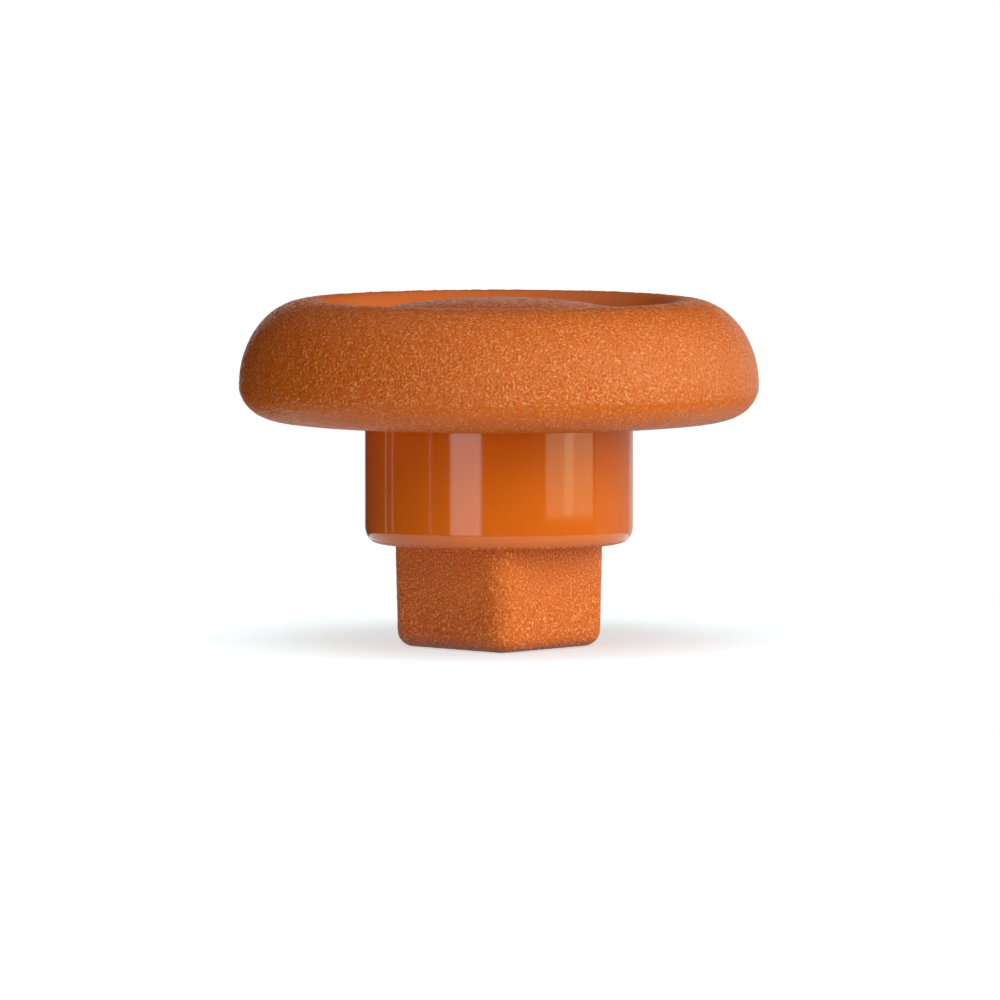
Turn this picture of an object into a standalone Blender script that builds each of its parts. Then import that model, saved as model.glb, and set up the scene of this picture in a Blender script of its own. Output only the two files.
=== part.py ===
"""Controller thumbstick, moulded in one piece.

A wide dished cap sits on a round collar, and a square stem below it plugs into the controller.
The origin is the centre of the stem's end face. +Z runs up through the cap, and X and Y are
square to the stem's flats. All sizes are in metres.
"""

import math

import bmesh
import bpy
from mathutils import Matrix, Vector
from mathutils.geometry import interpolate_bezier

# Stem: a rounded square plug that widens slightly towards the collar
STEM_WIDTH = 0.00570
STEM_LENGTH = 0.00382
STEM_DRAFT_DEG = 0.94
STEM_CORNER_RADIUS = 0.00080
STEM_END_ROUND = 0.00058

# Collar: a round drum, with a flat ledge left around the stem's corners
COLLAR_LENGTH = 0.00446
COLLAR_LEDGE = 0.00069
COLLAR_EDGE_DEPTH = 0.00042
COLLAR_EDGE_HEIGHT = 0.00060

# Cap: a flat underside, a short lower rounding, the widest line and a tall upper side
CAP_DIAMETER = 0.01900
CAP_LOWER_HEIGHT = 0.00129
CAP_LOWER_DEPTH = 0.00155
CAP_UPPER_HEIGHT = 0.00314
CAP_UPPER_DEPTH = 0.00255

# Dish: the rim falls to a ring-shaped moat, and a low dome stands in the middle
RIM_WALL_WIDTH = 0.00165
MOAT_DEPTH = 0.00090
DOME_FOOT_WIDTH = 0.00120
DOME_CROWN_RADIUS = 0.02400
DOME_LIFT = 0.00005

# Fineness of the faceted surface
FLAT_STEPS = 4
CORNER_STEPS = 8
RING_POINTS = 4 * (2 * FLAT_STEPS + CORNER_STEPS)
STEM_END_STEPS = 4
COLLAR_EDGE_STEPS = 4
CAP_LOWER_STEPS = 6
CAP_UPPER_STEPS = 11
RIM_WALL_STEPS = 8
DOME_FOOT_STEPS = 6
DOME_STEPS = 4
SMALLEST_CORNER = 0.00005
MERGE_DISTANCE = 0.0000001
SHARP_ANGLE_DEG = 40.0

# The plastic of the whole part
PLASTIC_COLOUR = (0.60, 0.145, 0.022, 1.0)
PLASTIC_ROUGHNESS = 0.45

# Heights up the axis
SHOULDER_Z = STEM_LENGTH
UNDERSIDE_Z = SHOULDER_Z + COLLAR_LENGTH
WIDEST_Z = UNDERSIDE_Z + CAP_LOWER_HEIGHT
CREST_Z = WIDEST_Z + CAP_UPPER_HEIGHT
MOAT_Z = CREST_Z - MOAT_DEPTH
APEX_Z = CREST_Z + DOME_LIFT

# Distances from the axis
STEM_ROOT_HALF = STEM_WIDTH / 2 + STEM_LENGTH * math.tan(math.radians(STEM_DRAFT_DEG))
STEM_ROOT_REACH = (STEM_ROOT_HALF - STEM_CORNER_RADIUS) * math.sqrt(2) + STEM_CORNER_RADIUS
LEDGE_RADIUS = STEM_ROOT_REACH + COLLAR_LEDGE
COLLAR_RADIUS = LEDGE_RADIUS + COLLAR_EDGE_DEPTH
CAP_RADIUS = CAP_DIAMETER / 2
CREST_RADIUS = CAP_RADIUS - CAP_UPPER_DEPTH
MOAT_RADIUS = CREST_RADIUS - RIM_WALL_WIDTH
DOME_RADIUS = MOAT_RADIUS - DOME_FOOT_WIDTH


def clear_scene():
    """Remove whatever objects the scene holds."""
    for old_object in list(bpy.data.objects):
        bpy.data.objects.remove(old_object, do_unlink=True)


def ellipse_arc(centre, depth, height, start_deg, end_deg, steps):
    """Points (r, z) along an ellipse's arc; 0 degrees points outwards and 90 degrees up."""
    points = []
    for step in range(steps + 1):
        angle = math.radians(start_deg + (end_deg - start_deg) * step / steps)
        points.append((centre[0] + depth * math.cos(angle), centre[1] + height * math.sin(angle)))
    return points


def eased_curve(start, end, end_slope, steps):
    """Points (r, z) from a level start to an end of the given slope dz/dr, start left out."""
    pull = (end[0] - start[0]) / 2
    first = Vector((start[0], start[1], 0.0))
    last = Vector((end[0], end[1], 0.0))
    first_handle = first + Vector((pull, 0.0, 0.0))
    last_handle = last - Vector((pull, pull * end_slope, 0.0))
    curve = interpolate_bezier(first, first_handle, last_handle, last, steps + 1)
    return [(point.x, point.y) for point in curve[1:]]


def dome_height(radius):
    """Height of the dome's ball-shaped crown at a distance from the axis."""
    return APEX_Z - DOME_CROWN_RADIUS + math.sqrt(DOME_CROWN_RADIUS ** 2 - radius ** 2)


def collar_profile():
    """Rounded lower edge of the drum and its straight wall, up to the cap's underside."""
    centre = (LEDGE_RADIUS, SHOULDER_Z + COLLAR_EDGE_HEIGHT)
    edge = ellipse_arc(centre, COLLAR_EDGE_DEPTH, COLLAR_EDGE_HEIGHT, -90, 0, COLLAR_EDGE_STEPS)
    return edge + [(COLLAR_RADIUS, UNDERSIDE_Z)]


def cap_side_profile():
    """Flat underside, lower rounding and upper side, out to the widest line and up to the crest."""
    lower_centre = (CAP_RADIUS - CAP_LOWER_DEPTH, WIDEST_Z)
    upper_centre = (CREST_RADIUS, WIDEST_Z)
    lower = ellipse_arc(lower_centre, CAP_LOWER_DEPTH, CAP_LOWER_HEIGHT, -90, 0, CAP_LOWER_STEPS)
    upper = ellipse_arc(upper_centre, CAP_UPPER_DEPTH, CAP_UPPER_HEIGHT, 0, 90, CAP_UPPER_STEPS)
    return lower + upper[1:]


def dish_profile():
    """Rim wall, moat and dome, from the crest inwards to the axis."""
    dome_slope = -DOME_RADIUS / math.sqrt(DOME_CROWN_RADIUS ** 2 - DOME_RADIUS ** 2)
    dome_edge = (DOME_RADIUS, dome_height(DOME_RADIUS))
    wall = eased_curve((CREST_RADIUS, CREST_Z), (MOAT_RADIUS, MOAT_Z), 0.0, RIM_WALL_STEPS)
    foot = eased_curve((MOAT_RADIUS, MOAT_Z), dome_edge, dome_slope, DOME_FOOT_STEPS)
    radii = [DOME_RADIUS * (1 - step / DOME_STEPS) for step in range(1, DOME_STEPS + 1)]
    return wall + foot + [(radius, dome_height(radius)) for radius in radii]


def add_round_body(mesh):
    """Turn the profile of collar, cap and dish once around the axis."""
    profile = collar_profile() + cap_side_profile() + dish_profile()
    points = [mesh.verts.new((radius, 0.0, z)) for radius, z in profile]
    lines = [mesh.edges.new(pair) for pair in zip(points, points[1:])]
    bmesh.ops.spin(
        mesh,
        geom=points + lines,
        cent=(0.0, 0.0, 0.0),
        axis=(0.0, 0.0, 1.0),
        angle=2 * math.pi,
        steps=RING_POINTS,
        use_merge=True,
    )


def square_ring(inset, z):
    """Points around the stem at a height, drawn in by an inset, from the middle of the +X flat."""
    half = STEM_WIDTH / 2 + z * math.tan(math.radians(STEM_DRAFT_DEG)) - inset
    corner = max(STEM_CORNER_RADIUS - inset, SMALLEST_CORNER)
    straight = half - corner
    quarter = [Vector((half, straight * step / FLAT_STEPS, z)) for step in range(FLAT_STEPS)]
    for step in range(CORNER_STEPS):
        angle = math.pi / 2 * step / CORNER_STEPS
        x = straight + corner * math.cos(angle)
        y = straight + corner * math.sin(angle)
        quarter.append(Vector((x, y, z)))
    quarter += [Vector((straight * (1 - step / FLAT_STEPS), half, z)) for step in range(FLAT_STEPS)]
    turns = [Matrix.Rotation(math.pi / 2 * side, 3, "Z") for side in range(4)]
    return [turn @ point for turn in turns for point in quarter]


def stem_rings():
    """Rings up the stem: the rounded edge of the end face, then the root at the shoulder."""
    rings = []
    for step in range(STEM_END_STEPS + 1):
        angle = math.pi / 2 * step / STEM_END_STEPS
        inset = STEM_END_ROUND * (1 - math.sin(angle))
        rings.append(square_ring(inset, STEM_END_ROUND * (1 - math.cos(angle))))
    rings.append(square_ring(0.0, SHOULDER_Z))
    return rings


def collar_foot_ring():
    """Points around the inner end of the collar's rounded edge, one for each point of the stem."""
    turns = [Matrix.Rotation(2 * math.pi * step / RING_POINTS, 3, "Z") for step in range(RING_POINTS)]
    return [turn @ Vector((LEDGE_RADIUS, 0.0, SHOULDER_Z)) for turn in turns]


def add_stem(mesh):
    """Draw the end face and pull its edge up the stem, then out across the flat shoulder."""
    rings = stem_rings() + [collar_foot_ring()]
    points = [mesh.verts.new(place) for place in rings[0]]
    end_face = mesh.faces.new(points)
    for ring in rings[1:]:
        upper = [mesh.verts.new(place) for place in ring]
        for here in range(RING_POINTS):
            there = (here + 1) % RING_POINTS
            mesh.faces.new((points[here], points[there], upper[there], upper[here]))
        points = upper
    bmesh.ops.poke(mesh, faces=[end_face])


def make_plastic():
    """One orange plastic for the whole moulding."""
    material = bpy.data.materials.new("orange_plastic")
    material.use_nodes = True
    shader = material.node_tree.nodes["Principled BSDF"]
    shader.inputs["Base Color"].default_value = PLASTIC_COLOUR
    shader.inputs["Roughness"].default_value = PLASTIC_ROUGHNESS
    shader.inputs["Metallic"].default_value = 0.0
    return material


def build_thumbstick():
    """Make the one closed body and link it to the scene."""
    shape = bmesh.new()
    add_round_body(shape)
    add_stem(shape)
    bmesh.ops.remove_doubles(shape, verts=shape.verts[:], dist=MERGE_DISTANCE)
    bmesh.ops.recalc_face_normals(shape, faces=shape.faces[:])
    mesh = bpy.data.meshes.new("thumbstick")
    shape.to_mesh(mesh)
    shape.free()
    mesh.materials.append(make_plastic())
    mesh.shade_smooth()
    mesh.set_sharp_from_angle(angle=math.radians(SHARP_ANGLE_DEG))
    thumbstick = bpy.data.objects.new("thumbstick", mesh)
    bpy.context.scene.collection.objects.link(thumbstick)
    return thumbstick


clear_scene()
build_thumbstick()
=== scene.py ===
import math

import bmesh
import bpy
from mathutils import Matrix, Vector, noise
from mathutils.geometry import interpolate_bezier


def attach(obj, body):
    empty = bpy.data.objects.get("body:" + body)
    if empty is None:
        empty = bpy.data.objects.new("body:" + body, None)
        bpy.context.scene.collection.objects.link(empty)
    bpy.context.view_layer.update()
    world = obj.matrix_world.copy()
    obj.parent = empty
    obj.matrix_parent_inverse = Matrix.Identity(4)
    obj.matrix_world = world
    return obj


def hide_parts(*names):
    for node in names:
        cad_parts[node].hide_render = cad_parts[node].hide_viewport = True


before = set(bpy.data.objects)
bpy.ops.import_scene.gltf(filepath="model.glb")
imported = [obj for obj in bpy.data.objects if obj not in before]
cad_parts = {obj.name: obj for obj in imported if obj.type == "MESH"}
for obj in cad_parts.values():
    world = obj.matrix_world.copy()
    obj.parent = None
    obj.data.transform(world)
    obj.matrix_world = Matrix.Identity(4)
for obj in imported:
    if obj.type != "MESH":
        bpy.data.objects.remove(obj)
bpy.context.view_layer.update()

# STEM
# The square plug under the collar pushes into the stick module's socket. It is moulded with the
# rest in one orange plastic, tapered so that it leaves the mould, and grained by the mould wall.
STEM_WIDTH = 0.00570
STEM_LENGTH = 0.00382
STEM_DRAFT_DEG = 0.94
STEM_CORNER_RADIUS = 0.00080
STEM_END_ROUND = 0.00058
STEM_FLAT_STEPS = 30
STEM_CORNER_STEPS = 30
SHANK_POINTS = 4 * (2 * STEM_FLAT_STEPS + STEM_CORNER_STEPS)
STEM_END_RINGS = 6
STEM_WALL_RINGS = 30
STEM_GRAIN_DEPTH = 0.000018
SHOULDER_Z = STEM_LENGTH
DRAFT_SLOPE = math.tan(math.radians(STEM_DRAFT_DEG))


def square_ring(inset, z):
    """Points round the stem at a height, drawn in by an inset, from the middle of the +X flat."""
    half = STEM_WIDTH / 2 + z * DRAFT_SLOPE - inset
    corner = STEM_CORNER_RADIUS - inset
    straight = half - corner
    rise = [straight * step / STEM_FLAT_STEPS for step in range(STEM_FLAT_STEPS)]
    quarter = [Vector((half, y, z)) for y in rise]
    for step in range(STEM_CORNER_STEPS):
        angle = math.pi / 2 * step / STEM_CORNER_STEPS
        x = straight + corner * math.cos(angle)
        y = straight + corner * math.sin(angle)
        quarter.append(Vector((x, y, z)))
    quarter += [Vector((straight - x, half, z)) for x in rise]
    turns = [Matrix.Rotation(math.pi / 2 * side, 3, "Z") for side in range(4)]
    return [turn @ point for turn in turns for point in quarter]


def stem_rings():
    """Rings up the stem: the rounded edge of its end face, then the grained wall."""
    rings = []
    for step in range(STEM_END_RINGS + 1):
        angle = math.pi / 2 * step / STEM_END_RINGS
        inset = STEM_END_ROUND * (1 - math.sin(angle))
        rings.append(square_ring(inset, STEM_END_ROUND * (1 - math.cos(angle))))
    for step in range(1, STEM_WALL_RINGS + 1):
        share = step / STEM_WALL_RINGS
        rings.append(square_ring(0.0, STEM_END_ROUND + (SHOULDER_Z - STEM_END_ROUND) * share))
    return rings


# Each band of rings carries the finish of its surface and the depth of its grain.
moulding = [("stem", STEM_GRAIN_DEPTH, stem_rings())]

# COLLAR
# The round drum above the stem slides in the opening of the controller's shell, so its mould was
# polished. The flat ledge round the stem has the stem's grain, which runs on over its edge.
COLLAR_LENGTH = 0.00446
COLLAR_LEDGE = 0.00069
COLLAR_EDGE_DEPTH = 0.00042
COLLAR_EDGE_HEIGHT = 0.00060
LEDGE_RINGS = 7
COLLAR_EDGE_RINGS = 7
GRAINED_EDGE_RINGS = 3
COLLAR_WALL_RINGS = 5
DOWN_DEG, OUT_DEG, UP_DEG = -90, 0, 90
STEM_ROOT_HALF = STEM_WIDTH / 2 + STEM_LENGTH * DRAFT_SLOPE
STEM_ROOT_REACH = (STEM_ROOT_HALF - STEM_CORNER_RADIUS) * math.sqrt(2) + STEM_CORNER_RADIUS
LEDGE_RADIUS = STEM_ROOT_REACH + COLLAR_LEDGE
COLLAR_RADIUS = LEDGE_RADIUS + COLLAR_EDGE_DEPTH
UNDERSIDE_Z = SHOULDER_Z + COLLAR_LENGTH


def round_ring(radius, z, count):
    """Points round the axis at one height, from +X."""
    turns = [2 * math.pi * step / count for step in range(count)]
    return [Vector((radius * math.cos(turn), radius * math.sin(turn), z)) for turn in turns]


def ledge_rings():
    """Rings across the flat shoulder, from the stem's root out to the collar's rounded edge."""
    root = square_ring(0.0, SHOULDER_Z)
    foot = round_ring(LEDGE_RADIUS, SHOULDER_Z, SHANK_POINTS)
    shares = [step / LEDGE_RINGS for step in range(1, LEDGE_RINGS + 1)]
    return [[inner.lerp(outer, share) for inner, outer in zip(root, foot)] for share in shares]


def ellipse_rings(centre, depth, height, start_deg, end_deg, steps, count):
    """Rings along an ellipse's arc, first one left out; 0 degrees points outwards and 90 up."""
    rings = []
    for step in range(1, steps + 1):
        angle = math.radians(start_deg + (end_deg - start_deg) * step / steps)
        radius = centre[0] + depth * math.cos(angle)
        rings.append(round_ring(radius, centre[1] + height * math.sin(angle), count))
    return rings


def collar_rings():
    """Rings over the collar's rounded lower edge and up its wall to the cap."""
    centre = (LEDGE_RADIUS, SHOULDER_Z + COLLAR_EDGE_HEIGHT)
    size = (COLLAR_EDGE_DEPTH, COLLAR_EDGE_HEIGHT)
    edge = ellipse_rings(centre, *size, DOWN_DEG, OUT_DEG, COLLAR_EDGE_RINGS, SHANK_POINTS)
    wall = []
    for step in range(1, COLLAR_WALL_RINGS + 1):
        z = centre[1] + (UNDERSIDE_Z - centre[1]) * step / COLLAR_WALL_RINGS
        wall.append(round_ring(COLLAR_RADIUS, z, SHANK_POINTS))
    return edge + wall


drum_rings = collar_rings()
moulding.append(("stem", STEM_GRAIN_DEPTH, ledge_rings() + drum_rings[:GRAINED_EDGE_RINGS]))
moulding.append(("polished", 0.0, drum_rings[GRAINED_EDGE_RINGS:]))

# CAP
# The wide head that the thumb rests on. The two mould halves meet just below its widest line and
# leave a fine raised line: the band below is finely grained, the tall side above has deep grain.
CAP_RADIUS = 0.00950
CAP_LOWER_HEIGHT = 0.00129
CAP_LOWER_DEPTH = 0.00155
CAP_UPPER_HEIGHT = 0.00314
CAP_UPPER_DEPTH = 0.00255
CAP_POINTS = 2 * SHANK_POINTS
UNDERSIDE_RINGS = 4
CAP_LOWER_RINGS = 17
PARTING_RING = 14
CAP_UPPER_RINGS = 52
SIDE_GRAIN_DEPTH = 0.000036
BAND_GRAIN_DEPTH = 0.000030
WIDEST_Z = UNDERSIDE_Z + CAP_LOWER_HEIGHT
CREST_Z = WIDEST_Z + CAP_UPPER_HEIGHT
CREST_RADIUS = CAP_RADIUS - CAP_UPPER_DEPTH
UNDERSIDE_RADIUS = CAP_RADIUS - CAP_LOWER_DEPTH


def underside_rings():
    """Rings out across the cap's flat underside."""
    rings = []
    for step in range(1, UNDERSIDE_RINGS):
        radius = COLLAR_RADIUS + (UNDERSIDE_RADIUS - COLLAR_RADIUS) * step / UNDERSIDE_RINGS
        rings.append(round_ring(radius, UNDERSIDE_Z, SHANK_POINTS))
    return rings + [round_ring(UNDERSIDE_RADIUS, UNDERSIDE_Z, CAP_POINTS)]


def cap_lower_rings():
    """Rings up the rounding below the widest line."""
    centre = (UNDERSIDE_RADIUS, WIDEST_Z)
    size = (CAP_LOWER_DEPTH, CAP_LOWER_HEIGHT)
    return ellipse_rings(centre, *size, DOWN_DEG, OUT_DEG, CAP_LOWER_RINGS, CAP_POINTS)


def cap_upper_rings():
    """Rings up the tall side, from the widest line to the crest of the rim."""
    centre = (CREST_RADIUS, WIDEST_Z)
    size = (CAP_UPPER_DEPTH, CAP_UPPER_HEIGHT)
    return ellipse_rings(centre, *size, OUT_DEG, UP_DEG, CAP_UPPER_RINGS, CAP_POINTS)


lower_rings = cap_lower_rings()
side_rings = lower_rings[PARTING_RING + 1:] + cap_upper_rings()
moulding.append(("band", 0.0, underside_rings()))
moulding.append(("band", BAND_GRAIN_DEPTH, lower_rings[:PARTING_RING]))
moulding.append(("band", 0.0, [lower_rings[PARTING_RING]]))
moulding.append(("grained", SIDE_GRAIN_DEPTH, side_rings))

# DISH
# The top of the cap is hollowed so that the thumb doesn't slip. The rim falls to a ring-shaped
# moat with a satin wall, and a low grained dome stands in the middle.
RIM_WALL_WIDTH = 0.00165
MOAT_DEPTH = 0.00090
DOME_FOOT_WIDTH = 0.00120
DOME_CROWN_RADIUS = 0.02400
DOME_LIFT = 0.00005
RIM_WALL_RINGS = 14
DOME_FOOT_RINGS = 8
DOME_RINGS = 27
DISH_GRAIN_DEPTH = 0.000030
LEVEL_SLOPE = 0.0
APEX_Z = CREST_Z + DOME_LIFT
MOAT_RADIUS = CREST_RADIUS - RIM_WALL_WIDTH
DOME_RADIUS = MOAT_RADIUS - DOME_FOOT_WIDTH
RIM_CREST = (CREST_RADIUS, CREST_Z)
MOAT_BOTTOM = (MOAT_RADIUS, CREST_Z - MOAT_DEPTH)


def eased_rings(start, end, end_slope, steps, count):
    """Rings from a level start (r, z) to an end of the given slope, first one left out."""
    pull = (end[0] - start[0]) / 2
    first = Vector((start[0], start[1], 0.0))
    last = Vector((end[0], end[1], 0.0))
    first_handle = first + Vector((pull, 0.0, 0.0))
    last_handle = last - Vector((pull, pull * end_slope, 0.0))
    curve = interpolate_bezier(first, first_handle, last_handle, last, steps + 1)
    return [round_ring(point.x, point.y, count) for point in curve[1:]]


def dome_height(radius):
    """Height of the dome's ball-shaped crown at a distance from the axis."""
    return APEX_Z - DOME_CROWN_RADIUS + math.sqrt(DOME_CROWN_RADIUS ** 2 - radius ** 2)


def dome_rings():
    """Rings up the dome's foot and over its crown, as far as the last one round the apex."""
    slope = -DOME_RADIUS / math.sqrt(DOME_CROWN_RADIUS ** 2 - DOME_RADIUS ** 2)
    edge = (DOME_RADIUS, dome_height(DOME_RADIUS))
    foot = eased_rings(MOAT_BOTTOM, edge, slope, DOME_FOOT_RINGS, SHANK_POINTS)
    radii = [DOME_RADIUS * (1 - step / DOME_RINGS) for step in range(1, DOME_RINGS)]
    return foot + [round_ring(radius, dome_height(radius), SHANK_POINTS) for radius in radii]


wall_rings = eased_rings(RIM_CREST, MOAT_BOTTOM, LEVEL_SLOPE, RIM_WALL_RINGS, CAP_POINTS)
moulding.append(("satin", 0.0, wall_rings))
moulding.append(("grained", DISH_GRAIN_DEPTH, dome_rings()))

# MOULDED BODY
# Stem, collar, cap and dish come out of the mould as one closed skin of orange plastic. The
# mould's spark-eroded grain is pressed into it, and only the finish differs from place to place.
FINISHES = ("stem", "grained", "band", "satin", "polished")
GRAIN_PER_METRE = 5000.0
FINE_GRAIN_RATIO = 2.1
MEAN_GRAIN = 0.5
BROAD_GRAIN_SHARE = 0.55
FINE_GRAIN_SHARE = 0.25
SHARP_ANGLE_DEG = 50.0
TOP_CLEARANCE = 0.0000001


def grain(place):
    """Depth of the pressed grain at a point, from 0 on its ridges to 1 in its pits."""
    broad = noise.noise(place * GRAIN_PER_METRE)
    fine = noise.noise(place * GRAIN_PER_METRE * FINE_GRAIN_RATIO)
    return min(max(MEAN_GRAIN + BROAD_GRAIN_SHARE * broad + FINE_GRAIN_SHARE * fine, 0.0), 1.0)


def join_rings(mesh, lower, upper, finish):
    """Close the skin between two rings, which have the same count or one has half the other's."""
    count = max(len(lower), len(upper))
    faces = []
    for here in range(count):
        there = (here + 1) % count
        if len(lower) == len(upper):
            faces.append((lower[here], lower[there], upper[there], upper[here]))
        elif len(lower) < len(upper):
            faces.append((lower[(here + 1) // 2 % len(lower)], upper[there], upper[here]))
            if here % 2:
                faces.append((lower[here // 2], lower[there // 2], upper[here]))
        else:
            faces.append((upper[(here + 1) // 2 % len(upper)], lower[here], lower[there]))
            if here % 2:
                faces.append((upper[here // 2], lower[here], upper[there // 2]))
    for corners in faces:
        mesh.faces.new(corners).material_index = FINISHES.index(finish)


def moulded_skin():
    """The whole closed skin, with the grain pressed into it along its own normals."""
    mesh = bmesh.new()
    depths = {}
    below = None
    for finish, depth, rings in moulding:
        for ring in rings:
            points = [mesh.verts.new(place) for place in ring]
            for point in points:
                depths[point] = depth
            if below:
                join_rings(mesh, below, points, finish)
            else:
                first = points
            below = points
    end_face = mesh.faces.new(reversed(first))
    bmesh.ops.poke(mesh, faces=[end_face])
    apex = mesh.verts.new((0.0, 0.0, APEX_Z - TOP_CLEARANCE))
    for here, point in enumerate(below):
        mesh.faces.new((point, below[(here + 1) % len(below)], apex))
    mesh.normal_update()
    pressed = [
        (point, point.normal * depth * grain(point.co)) for point, depth in depths.items() if depth
    ]
    for point, push in pressed:
        point.co -= push
    mesh.normal_update()
    return mesh


def link(name, mesh, materials, smooth=True):
    """Turn a mesh in the making into an object of the scene with its materials."""
    data = bpy.data.meshes.new(name)
    mesh.to_mesh(data)
    mesh.free()
    for material in materials:
        data.materials.append(material)
    if smooth:
        data.shade_smooth()
    thing = bpy.data.objects.new(name, data)
    bpy.context.scene.collection.objects.link(thing)
    return thing


def new_material(name):
    """An empty material, and the shader that it starts with."""
    material = bpy.data.materials.new(name)
    material.use_nodes = True
    return material, material.node_tree.nodes["Principled BSDF"]


def noise_value(material, place, per_metre, detail):
    """A cloudy value over the surface, with so many lumps to a metre."""
    texture = material.node_tree.nodes.new("ShaderNodeTexNoise")
    texture.inputs["Scale"].default_value = per_metre
    texture.inputs["Detail"].default_value = detail
    material.node_tree.links.new(place, texture.inputs["Vector"])
    return texture.outputs["Fac"]


def bump(material, height, depth, into):
    """Lead a height, with its full depth in metres, into one of the shader's normals."""
    layer = material.node_tree.nodes.new("ShaderNodeBump")
    layer.inputs["Distance"].default_value = depth
    material.node_tree.links.new(height, layer.inputs["Height"])
    material.node_tree.links.new(layer.outputs["Normal"], into)


def blend(material, share, first, second):
    """A colour between two others, by a share from 0 to 1; the first may come from a node."""
    mix = material.node_tree.nodes.new("ShaderNodeMix")
    mix.data_type = "RGBA"
    if isinstance(first, tuple):
        mix.inputs["A"].default_value = first
    else:
        material.node_tree.links.new(first, mix.inputs["A"])
    mix.inputs["B"].default_value = second
    material.node_tree.links.new(share, mix.inputs["Factor"])
    return mix.outputs["Result"]


def part_of(material, height, heights, most):
    """Share of a second colour: none at the first of two heights, the given most at the second."""
    share = material.node_tree.nodes.new("ShaderNodeMapRange")
    share.inputs["From Min"].default_value = heights[0]
    share.inputs["From Max"].default_value = heights[1]
    share.inputs["To Max"].default_value = most
    material.node_tree.links.new(height, share.inputs["Value"])
    return share.outputs["Result"]


PLASTIC_COLOUR = (0.80, 0.153, 0.010, 1.0)
PLASTIC_SHADE = (0.76, 0.137, 0.008, 1.0)
# Painted shade: the darker colour laid into the grain's pits.
PAINTED_PIT_SHADE = (0.54, 0.082, 0.005, 1.0)
# Painted glints: the paler colour laid onto the grain's peaks.
PAINTED_GLINT_COLOUR = (1.00, 0.36, 0.11, 1.0)
PAINTED_PIT_SHADE_HEIGHTS = (0.43, 0.25)
PAINTED_GLINT_HEIGHTS = (0.59, 0.74)
SPECKLE_DETAIL = 0.0
TINT_PER_METRE = 900.0
TINT_DETAIL = 4.0
BODY_ROUGHNESS = 0.6
SKIN_IOR = 1.5
SKIN_TO_BODY_RELIEF = 5


def orange_plastic(name, gloss, gloss_roughness, per_metre, skin_depth, painted_light_share):
    """Dyed plastic under a glossy skin. Painted shade makes the grain's pits darker and painted
    glints make its peaks paler.
    """
    material, shader = new_material(name)
    place = material.node_tree.nodes.new("ShaderNodeTexCoord").outputs["Object"]
    height = noise_value(material, place, per_metre, SPECKLE_DETAIL)
    cloud = noise_value(material, place, TINT_PER_METRE, TINT_DETAIL)
    body = blend(material, cloud, PLASTIC_SHADE, PLASTIC_COLOUR)
    # Painted shade darkens the grain's pits.
    pit_shaded = blend(material, part_of(material, height, PAINTED_PIT_SHADE_HEIGHTS, painted_light_share), body, PAINTED_PIT_SHADE)
    # Painted glints make the grain's peaks paler.
    glint_painted = blend(material, part_of(material, height, PAINTED_GLINT_HEIGHTS, painted_light_share), pit_shaded, PAINTED_GLINT_COLOUR)
    material.node_tree.links.new(glint_painted, shader.inputs["Base Color"])
    shader.inputs["Roughness"].default_value = BODY_ROUGHNESS
    shader.inputs["Specular IOR Level"].default_value = 0.0
    shader.inputs["Coat Weight"].default_value = gloss
    shader.inputs["Coat IOR"].default_value = SKIN_IOR
    shader.inputs["Coat Roughness"].default_value = gloss_roughness
    bump(material, height, skin_depth, shader.inputs["Coat Normal"])
    bump(material, height, skin_depth / SKIN_TO_BODY_RELIEF, shader.inputs["Normal"])
    return material


# One plastic for each finish, in the order of FINISHES. The last figure of each sets how strongly
# painted shade and painted glints mark its grain.
plastics = [
    orange_plastic(
        "orange_plastic_stem",
        gloss=0.5, gloss_roughness=0.14, per_metre=13500.0, skin_depth=0.00006, painted_light_share=1.0,
    ),
    orange_plastic(
        "orange_plastic_grained",
        gloss=0.85, gloss_roughness=0.12, per_metre=11500.0, skin_depth=0.00007, painted_light_share=0.75,
    ),
    orange_plastic(
        "orange_plastic_fine_band",
        gloss=0.45, gloss_roughness=0.18, per_metre=11000.0, skin_depth=0.00004, painted_light_share=0.5,
    ),
    orange_plastic(
        "orange_plastic_satin",
        gloss=1.0, gloss_roughness=0.35, per_metre=11000.0, skin_depth=0.00001, painted_light_share=0.1,
    ),
    orange_plastic(
        "orange_plastic_polished",
        gloss=1.0, gloss_roughness=0.10, per_metre=1500.0, skin_depth=0.000001, painted_light_share=0.0,
    ),
]
thumbstick = link("thumbstick_moulding", moulded_skin(), plastics)
thumbstick.data.set_sharp_from_angle(angle=math.radians(SHARP_ANGLE_DEG))
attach(thumbstick, "root")
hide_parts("thumbstick")

# CAMERA
# A long lens, close to the table, faces one corner of the stem. The stem is turned a little, so
# that its left flat shows slightly more than its right one.
STEM_CORNER_DEG = -45.0
CAMERA_TURN_DEG = 2.2
FRONT_DEG = STEM_CORNER_DEG - CAMERA_TURN_DEG
CAMERA_DISTANCE = 0.39354
CAMERA_HEIGHT = 0.03280
AIM_HEIGHT = 0.00535
AIM_RIGHT = 0.00004
LENS_MM = 388.8
SENSOR_MM = 36.0
CLIP_START = 0.01
CLIP_END = 10.0


def around(azimuth_deg, distance, z):
    """A place by its direction from the axis: 0 degrees faces the camera, positive to its right."""
    angle = math.radians(FRONT_DEG + azimuth_deg)
    return Vector((distance * math.cos(angle), distance * math.sin(angle), z))


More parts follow.
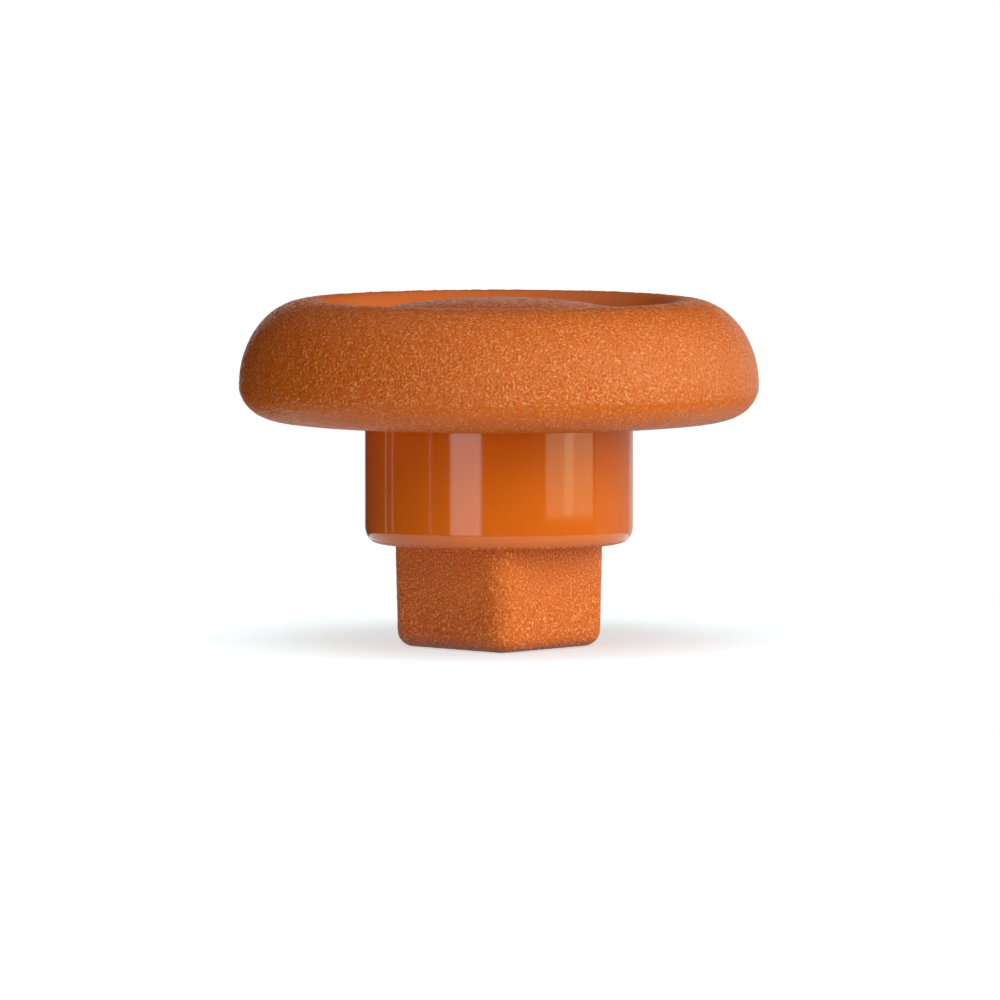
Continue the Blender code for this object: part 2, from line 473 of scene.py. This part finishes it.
camera_data = bpy.data.cameras.new("camera")
camera_data.lens = LENS_MM
camera_data.sensor_width = SENSOR_MM
camera_data.clip_start = CLIP_START
camera_data.clip_end = CLIP_END
camera = bpy.data.objects.new("camera", camera_data)
bpy.context.scene.collection.objects.link(camera)
camera.location = around(0.0, CAMERA_DISTANCE, CAMERA_HEIGHT)
aim = around(90.0, AIM_RIGHT, AIM_HEIGHT)
camera.rotation_euler = (aim - camera.location).to_track_quat("-Z", "Y").to_euler()
bpy.context.scene.camera = camera

# FLOOR AND STUDIO
# The part stands on a small white table top, which has a lamp of its own. Soft panels to the left,
# the right and the front light only the part, and dark cards keep the polished collar dark
# between them.
FLOOR_RADIUS = 0.022
FLOOR_COLOUR = (0.60, 0.73, 0.76, 1.0)
FLOOR_ROUGHNESS = 0.9
FLOOR_GLOW = 0.60
BLACK = (0.0, 0.0, 0.0, 1.0)
WHITE = (1.0, 1.0, 1.0, 1.0)
WARM = (0.98, 1.08, 0.68, 1.0)
SOFT_WARM = (0.99, 1.08, 0.82, 1.0)
DISC_POINTS = 96
CARD_STEP_DEG = 5.0
CEILING_Z = 0.171
CEILING_RADIUS = 0.180
CEILING_LIGHT = 0.40
LAMP_Z = 0.150
LAMP_RADIUS = 0.095
LAMP_FORWARD = 0.080
LAMP_LIGHT = 3.1


def seen_rays(nodes, links):
    """1 for camera, glossy and transmission rays, which see the white surround, and 0 else."""
    path = nodes.new("ShaderNodeLightPath")
    total = path.outputs["Is Camera Ray"]
    for other in ("Is Glossy Ray", "Is Transmission Ray"):
        either = nodes.new("ShaderNodeMath")
        either.operation = "MAXIMUM"
        links.new(total, either.inputs[0])
        links.new(path.outputs[other], either.inputs[1])
        total = either.outputs["Value"]
    return total


def floor_material():
    """White table top that clips to white for the camera but keeps the part's soft shadow."""
    material, shader = new_material("white_table")
    nodes = material.node_tree.nodes
    links = material.node_tree.links
    shader.inputs["Base Color"].default_value = FLOOR_COLOUR
    shader.inputs["Roughness"].default_value = FLOOR_ROUGHNESS
    shader.inputs["Specular IOR Level"].default_value = 0.0
    shader.inputs["Emission Color"].default_value = WHITE
    glow = nodes.new("ShaderNodeMath")
    glow.operation = "MULTIPLY"
    links.new(seen_rays(nodes, links), glow.inputs[0])
    glow.inputs[1].default_value = FLOOR_GLOW
    links.new(glow.outputs["Value"], shader.inputs["Emission Strength"])
    return material


def card_material(name, brightness, colour):
    """Black card that gives off an even light of its own."""
    material, shader = new_material(name)
    shader.inputs["Base Color"].default_value = BLACK
    shader.inputs["Specular IOR Level"].default_value = 0.0
    shader.inputs["Emission Color"].default_value = colour
    shader.inputs["Emission Strength"].default_value = brightness
    return material


def card(name, from_deg, to_deg, low, high, distance, brightness, colour=WHITE):
    """A curved card round the part, between two directions and two heights."""
    mesh = bmesh.new()
    steps = max(1, round((to_deg - from_deg) / CARD_STEP_DEG))
    columns = []
    for step in range(steps + 1):
        azimuth = from_deg + (to_deg - from_deg) * step / steps
        columns.append([mesh.verts.new(around(azimuth, distance, z)) for z in (low, high)])
    for left, right in zip(columns, columns[1:]):
        mesh.faces.new((left[0], right[0], right[1], left[1]))
    panel = link(name, mesh, [card_material(name, brightness, colour)])
    panel.visible_camera = False
    return panel


def disc(name, radius, z, material):
    """A flat round plate about the axis."""
    mesh = bmesh.new()
    mesh.faces.new([mesh.verts.new(place) for place in round_ring(radius, z, DISC_POINTS)])
    plate = link(name, mesh, [material], smooth=False)
    return plate


floor = disc("floor", FLOOR_RADIUS, 0.0, floor_material())
ceiling_finish = card_material("ceiling_card", CEILING_LIGHT, WHITE)
ceiling = disc("ceiling_card", CEILING_RADIUS, CEILING_Z, ceiling_finish)
ceiling.visible_camera = False
lamp_finish = card_material("table_lamp", LAMP_LIGHT, WHITE)
table_lamp = disc("table_lamp", LAMP_RADIUS, LAMP_Z, lamp_finish)
table_lamp.location = around(0.0, LAMP_FORWARD, 0.0)
table_lamp.visible_camera = False
table_lamp.visible_glossy = False
table_only = bpy.data.collections.new("table_only")
table_only.objects.link(floor)
table_lamp.light_linking.receiver_collection = table_only
part_only = bpy.data.collections.new("part_only")
part_only.objects.link(thumbstick)

# The collar mirrors the cards that reach below the table. The key strips light the cap's right
# side and stand higher than that, so that they leave no stripes in the collar.
CARD_DISTANCE = 0.150
WALL_DISTANCE = 0.175
CARD_GAP = 0.002
NEAR_CARD_DISTANCE = CARD_DISTANCE - CARD_GAP
NEAR_WALL_DISTANCE = WALL_DISTANCE - CARD_GAP
STRIP_LOW_Z = -0.025
STRIP_HIGH_Z = 0.040
PANEL_FOOT_Z = -0.0085
PANEL_LOW_Z = -0.0060
PANEL_HIGH_Z = 0.010
FILL_LOW_Z = 0.063
WALL_LOW_Z = -0.140
WALL_HIGH_Z = 0.170
BACK_LOW_Z = -0.060
KEY_STRIPS = ((12, 1.4), (28, 4.6), (44, 5.0), (60, 5.0), (76, 5.0), (92, 3.6), (108, 3.1))
KEY_STRIP_WIDTH_DEG = 8.0
KEY_STRIP_LOW_Z = 0.005
KEY_STRIP_HIGH_Z = 0.120

# Each card: name, two directions, two heights, distance, brightness, and a colour if not white.
lamps = [
    card("left_strip", -41.5, -15.0, STRIP_LOW_Z, STRIP_HIGH_Z, CARD_DISTANCE, 2.8),
    card("left_slit", -60.8, -59.8, STRIP_LOW_Z, PANEL_HIGH_Z, CARD_DISTANCE, 1.6),
    card("far_left_slit", -103.6, -102.4, STRIP_LOW_Z, PANEL_HIGH_Z, CARD_DISTANCE, 1.6),
    card("side_slit", -113.5, -112.4, STRIP_LOW_Z, PANEL_HIGH_Z, CARD_DISTANCE, 1.6),
    card("right_panel", 40.0, 87.0, PANEL_LOW_Z, PANEL_HIGH_Z, CARD_DISTANCE, 1.9, WARM),
    card("right_panel_foot", 40.0, 87.0, PANEL_FOOT_Z, PANEL_LOW_Z, CARD_DISTANCE, 0.9, WARM),
    card("right_line", 57.0, 66.0, PANEL_LOW_Z, PANEL_HIGH_Z, NEAR_CARD_DISTANCE, 3.4, WARM),
    card("front_fill", -15.0, 40.0, FILL_LOW_Z, WALL_HIGH_Z, NEAR_WALL_DISTANCE, 2.6, SOFT_WARM),
]
for from_deg, brightness in KEY_STRIPS:
    lamps.append(card(
        f"key_strip_{from_deg}", from_deg, from_deg + KEY_STRIP_WIDTH_DEG,
        KEY_STRIP_LOW_Z, KEY_STRIP_HIGH_Z, CARD_DISTANCE, brightness, SOFT_WARM,
    ))
for lamp in lamps:
    lamp.light_linking.receiver_collection = part_only
card("dark_wall", -165.0, 90.0, WALL_LOW_Z, WALL_HIGH_Z, WALL_DISTANCE, 0.02)
card("right_grey_wall", 90.0, 150.0, WALL_LOW_Z, WALL_HIGH_Z, WALL_DISTANCE, 0.35)
card("back_card", 150.0, 195.0, BACK_LOW_Z, STRIP_HIGH_Z, WALL_DISTANCE, 0.6)
upper_back = card(
    "upper_back_card", 150.0, 195.0, STRIP_HIGH_Z, WALL_HIGH_Z, WALL_DISTANCE, 0.05
)
# The upper back card shows only in the gloss, and keeps no light from the part.
upper_back.visible_diffuse = False
upper_back.visible_shadow = False

# The world is white where it is seen, and lights the part as a plain grey.
WORLD_GREY = 0.60
WORLD_SEEN = 1.0
world = bpy.data.worlds.new("surround")
world.use_nodes = True
world_nodes = world.node_tree.nodes
world_links = world.node_tree.links
background = world_nodes["Background"]
background.inputs["Color"].default_value = WHITE
level = world_nodes.new("ShaderNodeMapRange")
level.inputs["To Min"].default_value = WORLD_GREY
level.inputs["To Max"].default_value = WORLD_SEEN
world_links.new(seen_rays(world_nodes, world_links), level.inputs["Value"])
world_links.new(level.outputs["Result"], background.inputs["Strength"])
bpy.context.scene.world = world
bpy.context.scene.view_settings.view_transform = "Standard"
